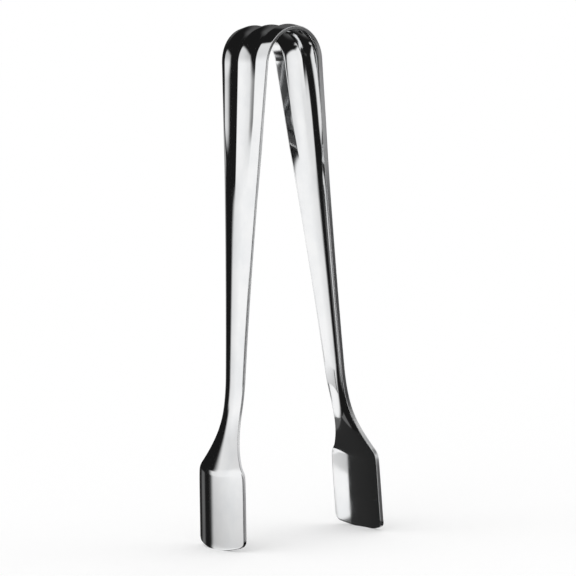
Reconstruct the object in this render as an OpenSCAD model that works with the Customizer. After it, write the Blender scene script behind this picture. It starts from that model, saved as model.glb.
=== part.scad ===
// Sugar tongs pressed from one strip of steel sheet.
// The strip is a sprung bow with two flutes between three ridges, two tapering arms and two scooped claws.
// X is the opening direction, Y runs across the strip and Z points up from the claw feet to the crown.

/* [Sheet] */
// Thickness of the steel sheet
sheet_thickness = 0.8; // [0.6:0.1:1]

/* [Bow] */
// Radius from the bow's axis to the middle of the sheet on the middle ridge
bow_radius = 8.25; // [6.5:0.05:10]
// Width of the strip at the crown
bow_width = 19.2; // [16:0.1:23]
// Place of the outer ridges at the crown, as a share of the half width
crown_ridge_place = 0.67; // [0.6:0.01:0.75]
// Place of the outer ridges at the top of the arms, as a share of the half width
arm_ridge_place = 0.77; // [0.68:0.01:0.85]
// Place of the outer ridges where they run out, as a share of the half width
end_ridge_place = 0.58; // [0.5:0.01:0.75]
// Depth of the flutes between the ridges at the crown
crown_flute_depth = 1.13; // [0.5:0.01:1.3]
// Depth of the flutes at the top of the arms
arm_flute_depth = 0.34; // [0.1:0.01:0.4]
// Length along the strip from the crown over which the flutes get that shallow
crown_flute_length = 16; // [12:0.5:22]
// Length along the strip from the crown over which the flutes run out on the inner face
inner_flute_length = 26; // [18:0.5:34]
// Drop of the strip's edges below the outer ridges
flank_drop = 0.5; // [0.2:0.01:0.8]
// Further drop of the edges below the outer ridges on the inner face of the arms
inner_flank_drop = 0.55; // [0.2:0.01:0.7]
// Drop of the inner face's side strips below its middle panel
inner_step_drop = 0.45; // [0.2:0.01:0.6]
// Place where that step starts, as a share of the half width
inner_step_start = 0.15; // [0.05:0.01:0.3]
// Place where that step ends, as a share of the half width
inner_step_end = 0.66; // [0.5:0.01:0.75]
// Turn of the strip's edges towards the inside at the top of the arms, in degrees
bow_edge_turn = 13; // [8:0.5:18]
// Length along the strip from the crown over which the edges reach that turn
bow_turn_length = 13; // [9:0.5:18]
// Length along the strip from the crown over which the pressed form is full
pressed_full_length = 24; // [18:0.5:30]
// Length along the strip over which the pressed form then fades into the plain arm
pressed_fade_length = 18; // [10:0.5:26]

/* [Arms] */
// Length of the straight part of each arm
arm_length = 66.3; // [50:0.1:85]
// Lean of each arm away from upright, in degrees
arm_splay = 4.45; // [2:0.05:8]
// Turn of the strip's edges towards the inside along the arms, in degrees
arm_edge_turn = 23; // [8:1:32]

/* [Necks] */
// Width of the strip at its narrowest
neck_width = 6.3; // [5:0.1:9]
// Lean of the neck away from upright, in degrees
neck_splay = 20; // [14:0.5:30]
// Radius of the bend from the arm into the neck
neck_bend_radius = 48; // [20:1:60]
// Straight length of the neck below that bend
neck_run = 5.2; // [1:0.1:9]
// Length along the strip over which the neck flares out to the claw
flare_length = 13.1; // [9:0.1:18]
// Rounding where the flare meets the plate, as a share of the flare
shoulder_rounding = 0.15; // [0.05:0.01:0.4]

/* [Claws] */
// Width of each claw
claw_width = 17; // [13:0.1:21]
// Length of each claw plate below its crease
claw_length = 17; // [12:0.1:24]
// Lean of each claw plate away from upright, in degrees
claw_splay = 2; // [0.5:0.1:6]
// Turn of the plate's edges towards the inside, in degrees
claw_edge_turn = 14; // [4:1:30]
// Radius of the crease between neck and plate
crease_radius = 5; // [3.5:0.1:8]
// Distance by which the crease dips in the middle of the strip
crease_dip = 1.5; // [0:0.1:3]
// Radius of the rounded lower end of each plate
claw_end_radius = 25; // [18:0.5:45]
// Radius of the plate's lower corners
claw_corner_radius = 1.2; // [0.4:0.1:2.5]
// Depth ground off the lowest edge of each claw as a flat foot
foot_depth = 0.2; // [0.1:0.05:0.4]

/* [Hidden] */

// Facets across each flute and each flank, which put an edge on every ridge
flute_facets = 8;
flank_facets = 3;
// Places across the strip: 0 on the middle ridge, 1 on an outer ridge and 2 on an edge
across = concat(
    [for (i = [flank_facets:-1:1]) -1 - i / flank_facets],
    [for (i = [-flute_facets:flute_facets]) i / flute_facets],
    [for (i = [1:flank_facets]) 1 + i / flank_facets]
);
facets_across = len(across) - 1;
// Facets along each stretch of the strip
bow_facets = 28;
pressed_facets = 18;
plain_arm_facets = 6;
neck_facets = 8;
crease_facets = 7;
plate_facets = 5;

// Lengths along the strip, from the crown to where each stretch ends
arc_per_degree = PI / 180;
bow_end = bow_radius * (90 - arm_splay) * arc_per_degree;
pressed_end = pressed_full_length + pressed_fade_length;
arm_end = bow_end + arm_length;
neck_bend_end = arm_end + neck_bend_radius * (neck_splay - arm_splay) * arc_per_degree;
neck_end = neck_bend_end + neck_run;
crease_end = neck_end + crease_radius * (neck_splay - claw_splay) * arc_per_degree;
strip_end = crease_end + claw_length;
flare_start = crease_end - flare_length;
// Powers of the flutes' run-out on each face, of the arm's taper and of the neck's flare
flute_power = 1.5;
inner_flute_power = 2.4;
taper_power = 1.38;
flare_power = 2.2;
// Small steps across the strip that give its slope, outside and on the rounder inside
slope_step = 0.0005;
inner_slope_step = 0.035;

function along(heading) = [sin(heading), -cos(heading)];
function outward(heading) = [cos(heading), sin(heading)];
function share(x, from, to) = max(0, min(1, (x - from) / (to - from)));
function ease(x, from, to) = let (t = share(x, from, to)) t * t * (3 - 2 * t);

// Points where the stretches of the middle line meet, seen from the front with the crown at zero
bow_axis = [0, -bow_radius];
arm_top = bow_axis + bow_radius * outward(arm_splay);
arm_foot = arm_top + arm_length * along(arm_splay);
neck_bend_axis = arm_foot + neck_bend_radius * outward(arm_splay);
neck_top = neck_bend_axis - neck_bend_radius * outward(neck_splay);
function crease_top(dip) = neck_top + (neck_run + dip) * along(neck_splay);
function crease_axis(dip) = crease_top(dip) - crease_radius * outward(neck_splay);
function plate_top(dip) = crease_axis(dip) + crease_radius * outward(claw_splay);

// Heading of the middle line in degrees, 90 at the crown and 0 straight down
function heading(s, dip) =
    s < bow_end ? 90 - s / bow_radius / arc_per_degree :
    s < arm_end ? arm_splay :
    s < neck_bend_end ? arm_splay + (s - arm_end) / neck_bend_radius / arc_per_degree :
    s < neck_end + dip ? neck_splay :
    s < crease_end + dip ? neck_splay - (s - neck_end - dip) / crease_radius / arc_per_degree :
    claw_splay;

// Place of the middle line at a length along the strip
function middle(s, dip) =
    s < bow_end ? bow_axis + bow_radius * outward(heading(s, dip)) :
    s < arm_end ? arm_top + (s - bow_end) * along(arm_splay) :
    s < neck_bend_end ? neck_bend_axis - neck_bend_radius * outward(heading(s, dip)) :
    s < neck_end + dip ? neck_top + (s - neck_bend_end) * along(neck_splay) :
    s < crease_end + dip ? crease_axis(dip) + crease_radius * outward(heading(s, dip)) :
    plate_top(dip) + (s - crease_end - dip) * along(claw_splay);

// Share of the flare reached at a length along the strip, with a rounded shoulder at the top
function level_off(x) = (x + 1 - sqrt(pow(x - 1, 2) + pow(shoulder_rounding, 2))) / 2;
function flare_share(s) =
    let (reach = pow((s - flare_start) / flare_length, flare_power))
    (level_off(reach) - level_off(0)) / (1 - level_off(0));

function half_width(s) =
    s < flare_start
    ? (neck_width + (bow_width - neck_width) * pow(1 - s / flare_start, taper_power)) / 2
    : (neck_width + (claw_width - neck_width) * flare_share(s)) / 2;

// Share of the arms' pressed form reached past the crown, and share of it left further down
function rise(s) = ease(s, 0, bow_turn_length);
function rest(s) = 1 - ease(s, pressed_full_length, pressed_end);

// Turn of the edges on the face of the given side, positive outside
function edge_turn(s, side) =
    let (bow_turn = side > 0 ? bow_edge_turn : 0)
    bow_turn * rise(s)
    + (arm_edge_turn - bow_turn) * (1 - rest(s))
    + (claw_edge_turn - arm_edge_turn) * ease(s, flare_start, crease_end);

// Share of the half width on the outer ridges, and at any place across the strip
function ridge_share(s) =
    crown_ridge_place
    + (arm_ridge_place - crown_ridge_place) * share(s, 0, pressed_full_length)
    + (end_ridge_place - arm_ridge_place) * (1 - rest(s));
function width_share(s, place) =
    let (ridge = ridge_share(s), p = abs(place))
    sign(place) * (p < 1 ? p * ridge : ridge + (p - 1) * (1 - ridge));

// Depth of the flutes on each face, and drop of the edges on the face of the given side
function outer_flute(s) =
    arm_flute_depth * rest(s)
    + (crown_flute_depth - arm_flute_depth) * pow(1 - share(s, 0, crown_flute_length), flute_power);
function inner_flute(s) =
    crown_flute_depth * pow(1 - share(s, 0, inner_flute_length), inner_flute_power);
function flank(s, side) = rest(s) * (flank_drop + (side > 0 ? 0 : inner_flank_drop * rise(s)));
function inner_step(s, v) =
    inner_step_drop * rise(s) * rest(s) * ease(abs(v), inner_step_start, inner_step_end);

// Section of one face for a share v of the half width: place across it and height above the middle line
function section(s, v, side) =
    let (
        w = half_width(s),
        ridge = ridge_share(s),
        flute = side > 0 ? outer_flute(s) : inner_flute(s),
        step_down = side > 0 ? 0 : inner_step(s, v),
        hollow = abs(v) < ridge ? abs(sin(180 * v / ridge)) : 0,
        past_ridge = max(0, (abs(v) - ridge) / (1 - ridge)),
        trough = w * tan(edge_turn(s, side) / 2) * v * v
    )
    [w * v, -trough - step_down - flute * hollow - flank(s, side) * past_ridge];
function section_normal(s, v, side) =
    let (
        reach = side > 0 ? slope_step : inner_slope_step,
        run = section(s, v + reach, side) - section(s, v - reach, side)
    )
    [-run[1], run[0]] / norm(run);

// Distance by which the rounded end of a plate stops short at a place across it
function corner_setback(y) =
    let (past = abs(y) - claw_width / 2 + claw_corner_radius)
    past > 0 ? claw_corner_radius - sqrt(max(0, pow(claw_corner_radius, 2) - past * past)) : 0;
function end_setback(y) = claw_end_radius - sqrt(pow(claw_end_radius, 2) - y * y) + corner_setback(y);

// Height of the crown's middle line above the flat feet
lowest_edge = middle(strip_end, crease_dip)[1] - sheet_thickness / 2 * sin(claw_splay);
crown_height = -lowest_edge - foot_depth;

// A point of the sheet's face on the given side, positive outside
function sheet_point(length, place, side) =
    let (
        s = abs(length),
        v = width_share(s, place),
        spot = section(s, v, side) + side * sheet_thickness / 2 * section_normal(s, v, side),
        dip = crease_dip * (1 - v * v),
        reach = s - share(s, crease_end, strip_end) * end_setback(half_width(s) * v),
        line = middle(reach, dip) + spot[1] * outward(heading(reach, dip))
    )
    [sign(length) * line[0], spot[0], crown_height + line[1]];

function ring(length) = concat(
    [for (place = across) sheet_point(length, place, 1)],
    [for (i = [facets_across:-1:0]) sheet_point(length, across[i], -1)]
);
function steps(from, to, count) = [for (i = [0:count]) from + (to - from) * i / count];
function after_first(list) = [for (i = [1:len(list) - 1]) list[i]];

// One stretch of the strip between the first and last of the given lengths
module strip(lengths) {
    size = 2 * (facets_across + 1);
    last = len(lengths) - 1;
    sides = [
        for (i = [0:last - 1], j = [0:size - 1])
            let (a = i * size + j, b = i * size + (j + 1) % size)
                each [[a, b, b + size], [a, b + size, a + size]]
    ];
    function cap(start) = [
        for (j = [0:facets_across - 1])
            let (a = start + j, b = start + size - 1 - j)
                each [[a, b, b - 1], [a, b - 1, a + 1]]
    ];
    far_cap = [for (face = cap(last * size)) [face[2], face[1], face[0]]];
    polyhedron([for (s = lengths) each ring(s)], concat(sides, cap(0), far_cap));
}

arm_stations = concat(
    steps(bow_end, pressed_end, pressed_facets),
    after_first(steps(pressed_end, arm_end, plain_arm_facets))
);
claw_stations = concat(
    steps(arm_end, neck_end, neck_facets),
    after_first(steps(neck_end, crease_end + crease_dip, crease_facets)),
    after_first(steps(crease_end + crease_dip, strip_end, plate_facets))
);

module floor_cut() {
    reach = 2 * crown_height;
    translate([-reach / 2, -reach / 2, -reach]) cube(reach);
}

module spring_bow() {
    color("silver") strip(steps(-bow_end, bow_end, bow_facets));
}

module right_arm() {
    color("gainsboro") strip(arm_stations);
}

module left_arm() {
    mirror([1, 0, 0]) right_arm();
}

module right_claw() {
    color("silver") difference() {
        strip(claw_stations);
        floor_cut();
    }
}

module left_claw() {
    mirror([1, 0, 0]) right_claw();
}

spring_bow();
left_arm();
right_arm();
left_claw();
right_claw();
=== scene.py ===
import math

import bpy
import numpy as np
from mathutils import Matrix, Vector


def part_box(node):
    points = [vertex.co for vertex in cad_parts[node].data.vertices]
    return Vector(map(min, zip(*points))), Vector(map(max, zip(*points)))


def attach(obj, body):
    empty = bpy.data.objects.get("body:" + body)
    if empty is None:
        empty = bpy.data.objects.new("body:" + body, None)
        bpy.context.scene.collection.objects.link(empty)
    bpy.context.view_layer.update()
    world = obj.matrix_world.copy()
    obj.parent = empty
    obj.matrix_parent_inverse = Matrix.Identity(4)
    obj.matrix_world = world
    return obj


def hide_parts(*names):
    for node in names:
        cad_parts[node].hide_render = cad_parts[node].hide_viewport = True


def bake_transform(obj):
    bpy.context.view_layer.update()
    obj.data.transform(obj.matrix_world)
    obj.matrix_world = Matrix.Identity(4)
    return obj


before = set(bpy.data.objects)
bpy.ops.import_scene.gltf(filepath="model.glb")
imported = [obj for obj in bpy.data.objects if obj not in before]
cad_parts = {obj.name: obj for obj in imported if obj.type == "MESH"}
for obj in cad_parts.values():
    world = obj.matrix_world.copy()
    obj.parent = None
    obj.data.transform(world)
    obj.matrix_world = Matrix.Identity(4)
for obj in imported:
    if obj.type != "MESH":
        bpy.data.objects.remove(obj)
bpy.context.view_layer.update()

scene = bpy.context.scene
scene.view_settings.view_transform = "Standard"
mm = 0.001

# camera
cameraSettings = {
    "turn": 34.0,  # degrees from straight on, towards the left arm
    "height": 4.52,  # degrees above level
    "roll": 2.5,  # the picture leans a little to the left
    "distance": 668.0,  # mm to the middle of the tongs
    "middle": (0.0, 0.0, 55.0),
    "pixelsPerMm": 4.687,  # at the middle
    "aim": (6.4, 5.4),  # pixels from the middle of the tongs to the middle of the picture
    "picture": 576,
}


def makeCamera(c):
    turn, height, roll = (math.radians(c[k]) for k in ("turn", "height", "roll"))
    back = Vector((-math.sin(turn) * math.cos(height), -math.cos(turn) * math.cos(height), math.sin(height)))
    right = Vector((math.cos(turn), -math.sin(turn), 0.0))
    up = back.cross(right)
    pictureRight = math.cos(roll) * right - math.sin(roll) * up
    pictureUp = math.sin(roll) * right + math.cos(roll) * up
    focal = c["pixelsPerMm"] * c["distance"]
    forward = (-back * focal + pictureRight * c["aim"][0] - pictureUp * c["aim"][1]).normalized()
    pictureRight = (pictureRight - forward * pictureRight.dot(forward)).normalized()
    pictureUp = pictureRight.cross(forward)
    data = bpy.data.cameras.new("tongsCamera")
    data.sensor_width = 36.0
    data.lens = focal / c["picture"] * data.sensor_width
    data.clip_start = 0.05
    data.clip_end = 200.0
    camera = bpy.data.objects.new("tongsCamera", data)
    scene.collection.objects.link(camera)
    axes = Matrix((pictureRight, pictureUp, -forward)).transposed().to_4x4()
    place = (Vector(c["middle"]) + back * c["distance"]) * mm
    camera.matrix_world = Matrix.Translation(place) @ axes
    scene.camera = camera


makeCamera(cameraSettings)
print("camera set")

# the strip: one sheet, bent and pressed
sheet = {
    "thickness": 0.8,
    "edgeRound": 0.16,
    "facePoints": 121,
    "edgePoints": 5,
    "ridgeColumn": 0.7,  # share of a face's columns that lie between the outer ridges
    "edgeColumn": 0.85,  # columns past this share make room for the rounded edge
    "slopeStep": 0.0005,  # share of the half width over which the slope is taken
    "innerSlopeStep": 0.035,  # the pressing leaves the inside of the ridges rounder
}
bow = {
    "radius": 8.25,
    "width": 19.2,
    "crownRidge": 0.67,  # place of the outer ridges at the crown, as a share of the half width
    "armRidge": 0.77,  # at the top of the arms
    "endRidge": 0.58,  # and where they run out
    "crownFlute": 1.13,  # depth at the crown
    "armFlute": 0.34,
    "fluteLength": 16.0,
    "flutePower": 1.5,
    "innerLength": 26.0,
    "innerPower": 2.4,
    "flankDrop": 0.5,  # of the edges below the outer ridges
    "innerFlank": 0.55,  # further drop on the inner face
    "stepDrop": 0.45,  # of the inner face's side strips
    "stepPlace": (0.15, 0.66),
    "edgeTurn": 13.0,
    "turnLength": 13.0,
    "pressedFull": 24.0,
    "pressedEnd": 42.0,  # the plain arm starts here
    "crownRows": (0.0, 0.02, 0.06),  # close rows where the two halves meet
    "firstRow": 0.12,
    "stations": 72,
}
arm = {"length": 66.3, "splay": 4.45, "edgeTurn": 23.0, "taper": 1.38, "stations": 150}
neck = {
    "width": 6.3,
    "splay": 20.0,
    "bendRadius": 48.0,
    "run": 5.2,
    "flare": 13.1,
    "flarePower": 2.2,
    "shoulder": 0.15,  # rounding where the flare meets the claw
    "stations": 46,
}
claw = {
    "width": 17.0,
    "length": 17.0,
    "splay": 2.0,
    "edgeTurn": 14.0,
    "creaseRadius": 5.0,
    "creaseDip": 1.5,
    "endRadius": 25.0,
    "corner": 1.2,
    "creaseMargin": 0.5,  # the fine rows reach this far past the crease
    "stations": 48,
    "endTurn": 84.0,  # degrees of the lower edge's rounding
    "endStations": 7,
}

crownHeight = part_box("spring_bow")[1][2] / mm - sheet["thickness"] / 2
armSplay, neckSplay, clawSplay = (math.radians(p["splay"]) for p in (arm, neck, claw))
bowEnd = bow["radius"] * (math.pi / 2 - armSplay)
armEnd = bowEnd + arm["length"]
bendEnd = armEnd + neck["bendRadius"] * (neckSplay - armSplay)
neckEnd = bendEnd + neck["run"]
creaseEnd = neckEnd + claw["creaseRadius"] * (neckSplay - clawSplay)
stripEnd = creaseEnd + claw["length"]
flareStart = creaseEnd - neck["flare"]


def share(s, start, end):
    return np.clip((s - start) / (end - start), 0.0, 1.0)


def ease(s, start, end):
    t = share(s, start, end)
    return t * t * (3 - 2 * t)


def along(h):
    return np.stack([np.sin(h), -np.cos(h)], -1)


def outward(h):
    return np.stack([np.cos(h), np.sin(h)], -1)


def heading(s, dip):
    return np.select(
        [s < bowEnd, s < armEnd, s < bendEnd, s < neckEnd + dip, s < creaseEnd + dip],
        [
            math.pi / 2 - s / bow["radius"],
            np.full_like(s, armSplay),
            armSplay + (s - armEnd) / neck["bendRadius"],
            np.full_like(s, neckSplay),
            neckSplay - (s - neckEnd - dip) / claw["creaseRadius"],
        ],
        clawSplay,
    )


def middleLine(s, dip):  # x and z of the sheet's middle, from the crown down
    at = heading(s, dip)
    n, d = s[..., None], dip[..., None]
    bowAxis = np.array([0.0, -bow["radius"]])
    armTop = bowAxis + bow["radius"] * outward(np.array(armSplay))
    armFoot = armTop + arm["length"] * along(np.array(armSplay))
    bendAxis = armFoot + neck["bendRadius"] * outward(np.array(armSplay))
    neckTop = bendAxis - neck["bendRadius"] * outward(np.array(neckSplay))
    creaseTop = neckTop + (neck["run"] + d) * along(np.array(neckSplay))
    creaseAxis = creaseTop - claw["creaseRadius"] * outward(np.array(neckSplay))
    plateTop = creaseAxis + claw["creaseRadius"] * outward(np.array(clawSplay))
    return np.select(
        [n < bowEnd, n < armEnd, n < bendEnd, n < neckEnd + d, n < creaseEnd + d],
        [
            bowAxis + bow["radius"] * outward(at),
            armTop + (n - bowEnd) * along(np.array(armSplay)),
            bendAxis - neck["bendRadius"] * outward(at),
            neckTop + (n - bendEnd) * along(np.array(neckSplay)),
            creaseAxis + claw["creaseRadius"] * outward(at),
        ],
        plateTop + (n - creaseEnd - d) * along(np.array(clawSplay)),
    )


def softCap(x):  # follows x, then levels off at 1
    return (x + 1 - np.sqrt((x - 1) ** 2 + neck["shoulder"] ** 2)) / 2


def halfWidth(s):
    wide = np.power(1 - np.minimum(s / flareStart, 1.0), arm["taper"])
    reach = np.power(np.maximum(s - flareStart, 0.0) / neck["flare"], neck["flarePower"])
    flare = (softCap(reach) - softCap(0.0)) / (1 - softCap(0.0))
    upper = neck["width"] + (bow["width"] - neck["width"]) * wide
    lower = neck["width"] + (claw["width"] - neck["width"]) * flare
    return np.where(s < flareStart, upper, lower) / 2


def rise(s):  # of the arms' pressed form, past the crown
    return ease(s, 0.0, bow["turnLength"])


def rest(s):  # of the pressed form, further down
    return 1 - ease(s, bow["pressedFull"], bow["pressedEnd"])


def edgeTurn(s, side):
    bowTurn = np.where(side > 0, bow["edgeTurn"], 0.0)
    turn = bowTurn * rise(s) + (arm["edgeTurn"] - bowTurn) * (1 - rest(s))
    return np.radians(turn + (claw["edgeTurn"] - arm["edgeTurn"]) * ease(s, flareStart, creaseEnd))


def ridgePlace(s):
    place = bow["crownRidge"] + (bow["armRidge"] - bow["crownRidge"]) * share(s, 0.0, bow["pressedFull"])
    return place + (bow["endRidge"] - bow["armRidge"]) * (1 - rest(s))


def section(s, v, side):  # across and outward place of one face, on the sheet's middle
    w, ridge, inside = halfWidth(s), ridgePlace(s), np.where(side > 0, 0.0, 1.0)
    crown = np.power(1 - share(s, 0.0, bow["fluteLength"]), bow["flutePower"])
    outer = bow["armFlute"] * rest(s) + (bow["crownFlute"] - bow["armFlute"]) * crown
    inner = bow["crownFlute"] * np.power(1 - share(s, 0.0, bow["innerLength"]), bow["innerPower"])
    flute = outer + inside * (inner - outer)
    hollow = np.where(np.abs(v) < ridge, np.abs(np.sin(math.pi * v / ridge)), 0.0)
    flank = rest(s) * (bow["flankDrop"] + inside * bow["innerFlank"] * rise(s))
    pastRidge = np.maximum(np.abs(v) - ridge, 0.0) / (1 - ridge)
    stepDown = inside * bow["stepDrop"] * rise(s) * rest(s) * ease(np.abs(v), *bow["stepPlace"])
    trough = w * np.tan(edgeTurn(s, side) / 2) * v * v
    return np.stack([w * v, -trough - stepDown - flute * hollow - flank * pastRidge], -1)


def sectionNormal(s, v, side):
    step = np.where(side > 0, sheet["slopeStep"], sheet["innerSlopeStep"])
    slope = section(s, v + step, side) - section(s, v - step, side)
    slope = slope / np.linalg.norm(slope, axis=-1, keepdims=True)
    return np.stack([-slope[..., 1], slope[..., 0]], -1)


def endSetback(y):
    start = claw["width"] / 2 - claw["corner"]
    over = np.clip(np.abs(y) - start, 0.0, claw["corner"])
    corner = claw["corner"] - np.sqrt(np.maximum(claw["corner"] ** 2 - over**2, 0.0))
    return claw["endRadius"] - np.sqrt(claw["endRadius"] ** 2 - y * y) + corner


def ringLayout():  # one loop round the sheet: outer face, near edge, inner face, far edge
    n, m = sheet["facePoints"], sheet["edgePoints"]
    face = np.linspace(-1, 1, n)
    arc = np.linspace(0, math.pi / 2, m)[1:]
    v = np.concatenate([-np.ones(m - 1), face, np.ones(m - 1)])
    edge = np.concatenate([-np.ones(m - 1), np.zeros(n), np.ones(m - 1)])
    bend = np.concatenate([arc[::-1], np.zeros(n), arc])
    side = np.ones_like(v)
    return (
        np.concatenate([v, v[::-1]]),
        np.concatenate([edge, edge[::-1]]),
        np.concatenate([bend, bend[::-1]]),
        np.concatenate([side, -side]),
    )


ringV, ringEdge, ringBend, ringSide = ringLayout()


def stripPoints(s, inset):  # a grid of places in mm, one row for each station
    s, inset = s[:, None], inset[:, None]
    rounding, half, ridgeColumn = sheet["edgeRound"], sheet["thickness"] / 2, sheet["ridgeColumn"]
    ridge, column, onFace = ridgePlace(s), np.abs(ringV), ringEdge == 0
    pastRidge = ridge + (column - ridgeColumn) / (1 - ridgeColumn) * (1 - ridge)
    v = np.where(column < ridgeColumn, column / ridgeColumn * ridge, pastRidge)
    v = v - share(column, sheet["edgeColumn"], 1.0) * onFace * rounding / halfWidth(s)
    v = np.sign(ringV) * v
    s = s * np.ones_like(v)
    base, normal = section(s, v, ringSide), sectionNormal(s, v, ringSide)
    tangent = np.stack([normal[..., 1], -normal[..., 0]], -1) * ringEdge[:, None]
    corner = base - rounding * tangent + ((half - rounding) * ringSide)[:, None] * normal
    turned = np.sin(ringBend)[:, None] * tangent + (np.cos(ringBend) * ringSide)[:, None] * normal
    arc = corner + (rounding - inset)[..., None] * turned
    face = base + ((half - inset) * ringSide)[..., None] * normal
    place = np.where(onFace[:, None], face, arc)
    across = halfWidth(s) * v
    dip = claw["creaseDip"] * (1 - v * v)
    length = s - share(s, creaseEnd, stripEnd) * endSetback(across)
    spot = middleLine(length, dip) + place[..., 1:2] * outward(heading(length, dip))
    points = np.stack([spot[..., 0], place[..., 0], crownHeight + spot[..., 1]], -1)
    points[..., 2] = np.maximum(points[..., 2], 0.0)  # the feet stand flat
    notes = np.stack([across, length, (ringEdge != 0) * np.ones_like(s)], -1)
    return points, notes


def stations():
    fineStart = neckEnd - claw["creaseMargin"]
    fineEnd = creaseEnd + claw["creaseDip"] + claw["creaseMargin"]
    bowRun = np.concatenate([bow["crownRows"], np.linspace(bow["firstRow"], bowEnd, bow["stations"])])
    armRun = np.linspace(bowEnd, armEnd, arm["stations"])[1:]
    neckRun = np.linspace(armEnd, fineStart, neck["stations"])[1:]
    creaseRun = np.linspace(fineStart, fineEnd, claw["stations"])[1:]
    plateRun = np.linspace(fineEnd, stripEnd - sheet["edgeRound"], claw["stations"])[1:]
    turn = np.linspace(0, math.radians(claw["endTurn"]), claw["endStations"])[1:]
    endRun = stripEnd - sheet["edgeRound"] * (1 - np.sin(turn))
    s = np.concatenate([bowRun, armRun, neckRun, creaseRun, plateRun, endRun])
    inset = np.concatenate([np.zeros(len(s) - len(turn)), sheet["edgeRound"] * (1 - np.cos(turn))])
    cuts = [0, len(bowRun) - 1, len(bowRun) + len(armRun) - 1, len(s) - 1]
    return s, inset, cuts


def gridNormals(points):
    ghost = points[1:2] * np.array([-1.0, 1.0, 1.0])  # the other half, past the crown
    last = 2 * points[-1:] - points[-2:-1]
    tall = np.concatenate([ghost, points, last])
    down = tall[2:] - tall[:-2]
    around = np.roll(points, -1, axis=1) - np.roll(points, 1, axis=1)
    normal = np.cross(down, around)
    return normal / np.maximum(np.linalg.norm(normal, axis=-1, keepdims=True), 1e-12)


def makePiece(name, rows, points, normals, notes, flip, material):
    part, partNormals, partNotes = points[rows], normals[rows], notes[rows]
    count, loop = part.shape[:2]
    if flip:
        mirror = np.array([-1.0, 1.0, 1.0])
        part, partNormals = part * mirror, partNormals * mirror
    i, j = np.meshgrid(np.arange(count - 1), np.arange(loop), indexing="ij")
    k = (j + 1) % loop
    body = np.stack([i * loop + j, i * loop + k, (i + 1) * loop + k, (i + 1) * loop + j], -1).reshape(-1, 4)
    left = np.arange(loop // 2 - 1)
    pair = np.stack([left, loop - 1 - left, loop - 2 - left, left + 1], -1)
    top, foot = pair, pair[:, ::-1] + (count - 1) * loop
    faces = np.concatenate([body, top, foot])
    if not flip:
        faces = faces[:, ::-1]
    mesh = bpy.data.meshes.new(name)
    mesh.from_pydata((part.reshape(-1, 3) * mm).tolist(), [], faces.tolist())
    mesh.polygons.foreach_set("use_smooth", np.ones(len(faces), bool))
    flat = partNormals.reshape(-1, 3)[faces]
    for start, row, near in ((len(body), 0, 1), (len(body) + len(top), -1, -2)):
        lift = (part[row] - part[near]).mean(axis=0)
        flat[start : start + len(top)] = lift / np.linalg.norm(lift)
    mesh.normals_split_custom_set(flat.reshape(-1, 3).tolist())
    place = mesh.attributes.new("stripPlace", "FLOAT_VECTOR", "POINT")
    place.data.foreach_set("vector", partNotes.reshape(-1).astype(np.float32))
    mesh.materials.append(material)
    piece = bpy.data.objects.new(name, mesh)
    scene.collection.objects.link(piece)
    return piece


# polished steel
steelFinish = {
    "colourLow": (0.735, 0.745, 0.755, 1.0),
    "colourHigh": (0.80, 0.803, 0.806, 1.0),
    "roughLow": 0.035,
    "roughHigh": 0.085,
    "edgeRough": 0.22,
    "grainDepth": 0.0000006,
    "waveDepth": 0.000004,
    "edgeGrainDepth": 0.000006,
    "lineRough": 0.02,
    "tintPlaces": (0.3, 0.62),
    # noises: scale across and along the strip for each mm, detail and roughness
    "smudge": (0.16, 0.11, 3.0, 0.6),  # wiping marks a few mm wide
    "lines": (9.0, 0.35, 2.0, 0.5),  # polishing lines along the strip
    "grain": (5.0, 5.0, 2.0, 0.5),
    "wave": (0.22, 0.13, 1.0, 0.5),  # the sheet is not quite flat
    "edgeGrain": (3.0, 2.2, 4.0, 0.7),
}


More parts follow.
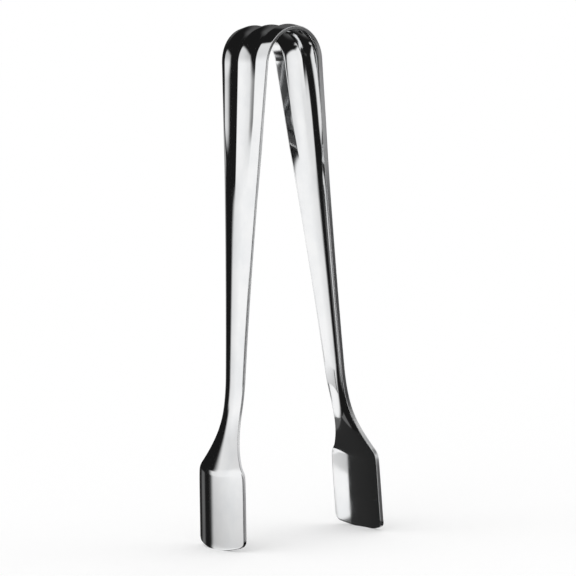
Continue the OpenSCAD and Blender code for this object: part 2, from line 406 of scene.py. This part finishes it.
def makeSteel(c):
    steel = bpy.data.materials.new("polishedSteel")
    steel.use_nodes = True
    nodes, links = steel.node_tree.nodes, steel.node_tree.links
    shader = nodes["Principled BSDF"]
    shader.inputs["Metallic"].default_value = 1.0

    def add(kind, **values):
        node = nodes.new(kind)
        for key, value in values.items():
            setattr(node, key, value)
        return node

    def noise(scaleAcross, scaleAlong, detail, rough):
        stretch = add("ShaderNodeMapping")
        stretch.inputs["Scale"].default_value = (scaleAcross, scaleAlong, 1.0)
        texture = add("ShaderNodeTexNoise")
        texture.inputs["Scale"].default_value = 1.0
        texture.inputs["Detail"].default_value = detail
        texture.inputs["Roughness"].default_value = rough
        links.new(place.outputs["Vector"], stretch.inputs["Vector"])
        links.new(stretch.outputs["Vector"], texture.inputs["Vector"])
        return texture.outputs["Fac"]

    def spread(value, low, high, fromLow=0.3, fromHigh=0.7):
        node = add("ShaderNodeMapRange")
        node.inputs["From Min"].default_value = fromLow
        node.inputs["From Max"].default_value = fromHigh
        node.inputs["To Min"].default_value = low
        node.inputs["To Max"].default_value = high
        links.new(value, node.inputs["Value"])
        return node.outputs["Result"]

    def sums(kind, a, b):
        node = add("ShaderNodeMath", operation=kind)
        for socket, value in zip(node.inputs, (a, b)):
            if isinstance(value, (int, float)):
                socket.default_value = value
            else:
                links.new(value, socket)
        return node.outputs["Value"]

    def bump(height, depth, below=None):
        node = add("ShaderNodeBump")
        node.inputs["Strength"].default_value = 1.0
        node.inputs["Distance"].default_value = depth
        links.new(height, node.inputs["Height"])
        if below is not None:
            links.new(below, node.inputs["Normal"])
        return node.outputs["Normal"]

    place = add("ShaderNodeAttribute", attribute_name="stripPlace")
    parts = add("ShaderNodeSeparateXYZ")
    links.new(place.outputs["Vector"], parts.inputs["Vector"])
    edge = parts.outputs["Z"]

    smudge, lines, grain = noise(*c["smudge"]), noise(*c["lines"]), noise(*c["grain"])
    wave, edgeGrain = noise(*c["wave"]), noise(*c["edgeGrain"])

    tint = add("ShaderNodeValToRGB")
    colours = c["colourLow"], c["colourHigh"]
    for stop, position, colour in zip(tint.color_ramp.elements, c["tintPlaces"], colours):
        stop.position = position
        stop.color = colour
    links.new(smudge, tint.inputs["Fac"])
    links.new(tint.outputs["Color"], shader.inputs["Base Color"])

    faceRough = sums("ADD", spread(smudge, c["roughHigh"], c["roughLow"]), spread(lines, 0.0, c["lineRough"]))
    rough = sums("ADD", faceRough, sums("MULTIPLY", edge, c["edgeRough"]))
    links.new(rough, shader.inputs["Roughness"])

    waves = bump(wave, c["waveDepth"])
    grains = bump(sums("ADD", grain, lines), c["grainDepth"], waves)
    edgeMarks = bump(sums("MULTIPLY", edgeGrain, edge), c["edgeGrainDepth"], grains)
    links.new(edgeMarks, shader.inputs["Normal"])
    return steel


polishedSteel = makeSteel(steelFinish)
print("steel ready")

s, inset, cuts = stations()
points, notes = stripPoints(s, inset)
normals = gridNormals(points)

bowRows, armRows, clawRows = (slice(cuts[k], cuts[k + 1] + 1) for k in range(3))
for hand, flip, sign in (("right", False, 1.0), ("left", True, -1.0)):
    half = makePiece(f"{hand}BowHalf", bowRows, points, normals, notes, flip, polishedSteel)
    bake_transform(half)
    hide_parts("spring_bow")
    armPiece = makePiece(f"{hand}Arm", armRows, points, normals, notes, flip, polishedSteel)
    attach(armPiece, hand)
    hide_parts(f"{hand}_arm")
    clawPiece = makePiece(f"{hand}Claw", clawRows, points, normals, notes, flip, polishedSteel)
    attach(clawPiece, hand)
    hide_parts(f"{hand}_claw")
    print(hand, "half made")

# studio: white floor and world, with cards that only the metal sees
floorSettings = {"size": 30.0, "colour": (0.80, 0.80, 0.80, 1.0), "glow": 0.2}
cardSettings = {"middle": (0.0, 0.0, 0.06), "step": 1.5, "dark": 0.012}  # m, degrees and glow
sharp = 0.1  # a fade too narrow to see, in degrees
domeCards = {
    # bearing from the left towards the back, height from level, radius in m, glow, fades at left, right, foot and top
    "surround": ((-180, 180), (-89, 89), 2.2, 0.0, (sharp, sharp, sharp, sharp)),
    "underDim": ((-180, 180), (-89, -50), 2.1, 0.1, (sharp, sharp, sharp, 16)),
    "rightDim": ((100, 168), (-8, 60), 2.1, 0.09, (16, 4, 6, 20)),
    "sidePanel": ((166, 217), (-14, 46), 2.0, 0.85, (4, 4, 4, 6)),
    "lowRight": ((118, 158), (-42, -8), 2.0, 0.7, (5, 8, 6, 4)),
    "edgeStrip": ((93, 121), (-14, 1), 1.9, 0.45, (3, 3, 4, 2)),
    "faintStrip": ((77, 89), (-15, -5), 2.0, 0.13, (4, 4, 3, 2)),
    "rimDim": ((-140, -108), (-28, -9.5), 2.0, 0.2, (4, 6, 6, 3)),
    "flankDim": ((-142, -106), (-9.5, 4), 2.0, 0.08, (2, 2, 1, 1)),
    "frontPanel": ((-66, -5), (-22, 60), 2.0, 0.85, (12, 5, 6, 10)),
    "backPanel": ((130, 168), (-8, 32), 2.0, 0.75, (10, 3, 5, 10)),
    "highFront": ((-144, -64), (5, 64), 2.0, 0.7, (8, 6, 4, 14)),
    "rearDim": ((-102, -70), (-8, 6), 2.05, 0.35, (6, 4, 2, 2)),
    "topPanel": ((-180, 180), (74, 89.5), 2.0, 0.7, (sharp, sharp, 5, sharp)),
}
softPanel = {
    "bearing": (-36, 72),
    "height": (-46, 54),
    "radius": 0.6,
    "step": 0.75,
    "glow": 1.12,
    "right": (67.5, 61.5),  # below level and above it
    "rightTurn": (1, 4.5),  # heights between which the right side moves over
    "topLean": (24, 1.05),  # the right side leans in above this height
    "footLean": (-12, 0.8),  # and below this one
    "left": (-33.0, 11.0, 17.5),  # above level, below it and near the foot
    "leftTurn": (-2.2, -0.2),  # depths between which the left side moves over
    "footTurn": (10, 20),  # and moves once more
    "fades": (9, 4, 5, 8),  # right, left, top and foot
    "fall": (35, 60, 0.8),  # dimmer towards the right
    "topFall": (8, 26, 0.22, 0.26),  # and towards the top
    "cornerFall": (30, 58),  # where the top's second share comes in
}
nearCards = {
    # corners in mm, first and last column, then glow of each
    "clawBoard": {"corners": ((0.6, 16.7), (30.0, 24.0)), "height": (-60, 12), "glow": (0.02, 0.0)},
    "rimCard": {"corners": ((-25.0, -70.0), (20.0, -70.0)), "height": (58, 86), "glow": (0.4, 0.4)},
}
clawFloor = {
    "x": (-21.0, 40.0),
    "y": (10.0, 60.0),
    "z": -8.0,
    "points": 41,
    "glow": 0.13,
    "fade": 8.0,  # the glow is gone this far right of the middle
    "spot": (-7.5, 31.5, 4.5),  # place and size
    "spotGlow": 0.35,
}
clawSheen = {
    # a low curved card round the left claw's foot, in bearings and mm, dimmer towards its lower edge
    "foot": (-19.0, 0.0),
    "radius": 90.0,
    "bearing": (5, 68),
    "height": (-10.6, 10.5),
    "points": (64, 9),
    "glow": 1.1,
    "fades": (4, 9),
    "fall": (30, 60, 0.77),
    "lowShare": 0.68,
}


def makeWorld():
    world = bpy.data.worlds.new("whiteStudio")
    world.use_nodes = True
    background = world.node_tree.nodes["Background"]
    background.inputs["Color"].default_value = (1.0, 1.0, 1.0, 1.0)
    background.inputs["Strength"].default_value = 1.0
    scene.world = world


def makeFloor(c):
    half = c["size"] / 2
    mesh = bpy.data.meshes.new("floor")
    corners = [(-half, -half, 0.0), (half, -half, 0.0), (half, half, 0.0), (-half, half, 0.0)]
    mesh.from_pydata(corners, [], [(0, 1, 2, 3)])
    paint = bpy.data.materials.new("whiteFloor")
    paint.use_nodes = True
    nodes, links = paint.node_tree.nodes, paint.node_tree.links
    shader = nodes["Principled BSDF"]
    shader.inputs["Base Color"].default_value = c["colour"]
    shader.inputs["Roughness"].default_value = 0.9
    shader.inputs["Specular IOR Level"].default_value = 0.0
    shader.inputs["Emission Color"].default_value = (1.0, 1.0, 1.0, 1.0)
    path = nodes.new("ShaderNodeLightPath")
    seen = path.outputs["Is Camera Ray"]
    for kind in ("Is Glossy Ray", "Is Transmission Ray"):
        either = nodes.new("ShaderNodeMath")
        either.operation = "MAXIMUM"
        links.new(seen, either.inputs[0])
        links.new(path.outputs[kind], either.inputs[1])
        seen = either.outputs[0]
    glow = nodes.new("ShaderNodeMath")
    glow.operation = "MULTIPLY"
    glow.inputs[1].default_value = c["glow"]
    links.new(seen, glow.inputs[0])
    links.new(glow.outputs[0], shader.inputs["Emission Strength"])
    mesh.materials.append(paint)
    floor = bpy.data.objects.new("floor", mesh)
    scene.collection.objects.link(floor)
    floor.visible_glossy = False


def cardMaterial(name):  # shows the card's own brightness and nothing else
    material = bpy.data.materials.new(name)
    material.use_nodes = True
    nodes, links = material.node_tree.nodes, material.node_tree.links
    shader = nodes["Principled BSDF"]
    shader.inputs["Base Color"].default_value = (0.0, 0.0, 0.0, 1.0)
    shader.inputs["Specular IOR Level"].default_value = 0.0
    shader.inputs["Emission Color"].default_value = (1.0, 1.0, 1.0, 1.0)
    glow = nodes.new("ShaderNodeAttribute")
    glow.attribute_name = "glow"
    links.new(glow.outputs["Fac"], shader.inputs["Emission Strength"])
    return material


def makeCard(name, spots, glow, columns, rows):
    a, b = np.meshgrid(np.arange(columns - 1), np.arange(rows - 1), indexing="ij")
    first = (a * rows + b).reshape(-1)
    faces = np.stack([first, first + rows, first + rows + 1, first + 1], -1)
    mesh = bpy.data.meshes.new(name)
    mesh.from_pydata(spots.tolist(), [], faces.tolist())
    shades = mesh.attributes.new("glow", "FLOAT", "POINT")
    shades.data.foreach_set("value", np.asarray(cardSettings["dark"] + glow, np.float32))
    mesh.materials.append(cardPaint)
    card = bpy.data.objects.new(name, mesh)
    scene.collection.objects.link(card)
    card.visible_camera = False
    card.visible_shadow = False
    card.visible_diffuse = False


def domeGrid(bearing, height, radius, step):
    columns, rows = (int((high - low) / step) + 2 for low, high in (bearing, height))
    turn, tilt = np.meshgrid(np.linspace(*bearing, columns), np.linspace(*height, rows), indexing="ij")
    turn, tilt = turn.reshape(-1), tilt.reshape(-1)
    t, e = np.radians(turn), np.radians(tilt)
    away = np.stack([-np.cos(t) * np.cos(e), np.sin(t) * np.cos(e), np.sin(e)], -1)
    return turn, tilt, np.array(cardSettings["middle"]) + radius * away, columns, rows


def domeCard(name, bearing, height, radius, glow, fades):
    turn, tilt, spots, columns, rows = domeGrid(bearing, height, radius, cardSettings["step"])
    soft = ease(turn - bearing[0], 0, fades[0]) * ease(bearing[1] - turn, 0, fades[1])
    soft = soft * ease(tilt - height[0], 0, fades[2]) * ease(height[1] - tilt, 0, fades[3])
    makeCard(name, spots, glow * soft, columns, rows)


def panelCard(name, c):
    turn, tilt, spots, columns, rows = domeGrid(c["bearing"], c["height"], c["radius"], c["step"])
    low, high = c["right"]
    right = low + (high - low) * ease(tilt, *c["rightTurn"])
    right = right - c["topLean"][1] * np.maximum(tilt - c["topLean"][0], 0)
    right = right - c["footLean"][1] * np.maximum(c["footLean"][0] - tilt, 0)
    high, low, foot = c["left"]
    left = high + (low - high) * ease(-tilt, *c["leftTurn"]) + (foot - low) * ease(-tilt, *c["footTurn"])
    soft = ease(right - turn, 0, c["fades"][0]) * ease(turn - left, 0, c["fades"][1])
    soft = soft * ease(c["height"][1] - tilt, 0, c["fades"][2]) * ease(tilt - c["height"][0], 0, c["fades"][3])
    start, end, kept = c["fall"]
    soft = soft * (1 - (1 - kept) * share(turn, start, end))
    start, end, plain, more = c["topFall"]
    soft = soft * (1 - ease(tilt, start, end) * (plain + more * share(turn, *c["cornerFall"])))
    makeCard(name, spots, c["glow"] * soft, columns, rows)


def nearCard(name, c):
    spots = np.array([(x, y, z) for x, y in c["corners"] for z in c["height"]]) * mm
    makeCard(name, spots, np.repeat(c["glow"], 2), 2, 2)


def floorCard(name, c):
    count = c["points"]
    x, y = np.meshgrid(np.linspace(*c["x"], count), np.linspace(*c["y"], count), indexing="ij")
    spots = np.stack([x, y, np.full_like(x, c["z"])], -1).reshape(-1, 3) * mm
    spotX, spotY, size = c["spot"]
    spot = ease(-np.hypot(x - spotX, y - spotY), -size, 0.0)
    glow = c["glow"] * ease(-x, -c["fade"], c["fade"]) + c["spotGlow"] * spot
    makeCard(name, spots, glow.reshape(-1), count, count)


def sheenCard(name, c):
    columns, rows = c["points"]
    (left, right), (start, end, kept) = c["bearing"], c["fall"]
    turn, z = np.meshgrid(np.linspace(left, right, columns), np.linspace(*c["height"], rows), indexing="ij")
    t = np.radians(turn)
    x, y = c["foot"][0] - c["radius"] * np.cos(t), c["foot"][1] + c["radius"] * np.sin(t)
    soft = ease(turn - left, 0, c["fades"][0]) * ease(right - turn, 0, c["fades"][1])
    soft = soft * (1 - (1 - kept) * share(turn, start, end))
    soft = soft * (c["lowShare"] + (1 - c["lowShare"]) * share(z, *c["height"]))
    spots = np.stack([x, y, z], -1).reshape(-1, 3) * mm
    makeCard(name, spots, c["glow"] * soft.reshape(-1), columns, rows)


makeWorld()
makeFloor(floorSettings)
cardPaint = cardMaterial("cardPaint")
for name, card in domeCards.items():
    domeCard(name, *card)
panelCard("softPanel", softPanel)
for name, card in nearCards.items():
    nearCard(name, card)
floorCard("clawFloor", clawFloor)
sheenCard("clawSheen", clawSheen)
print("studio set")
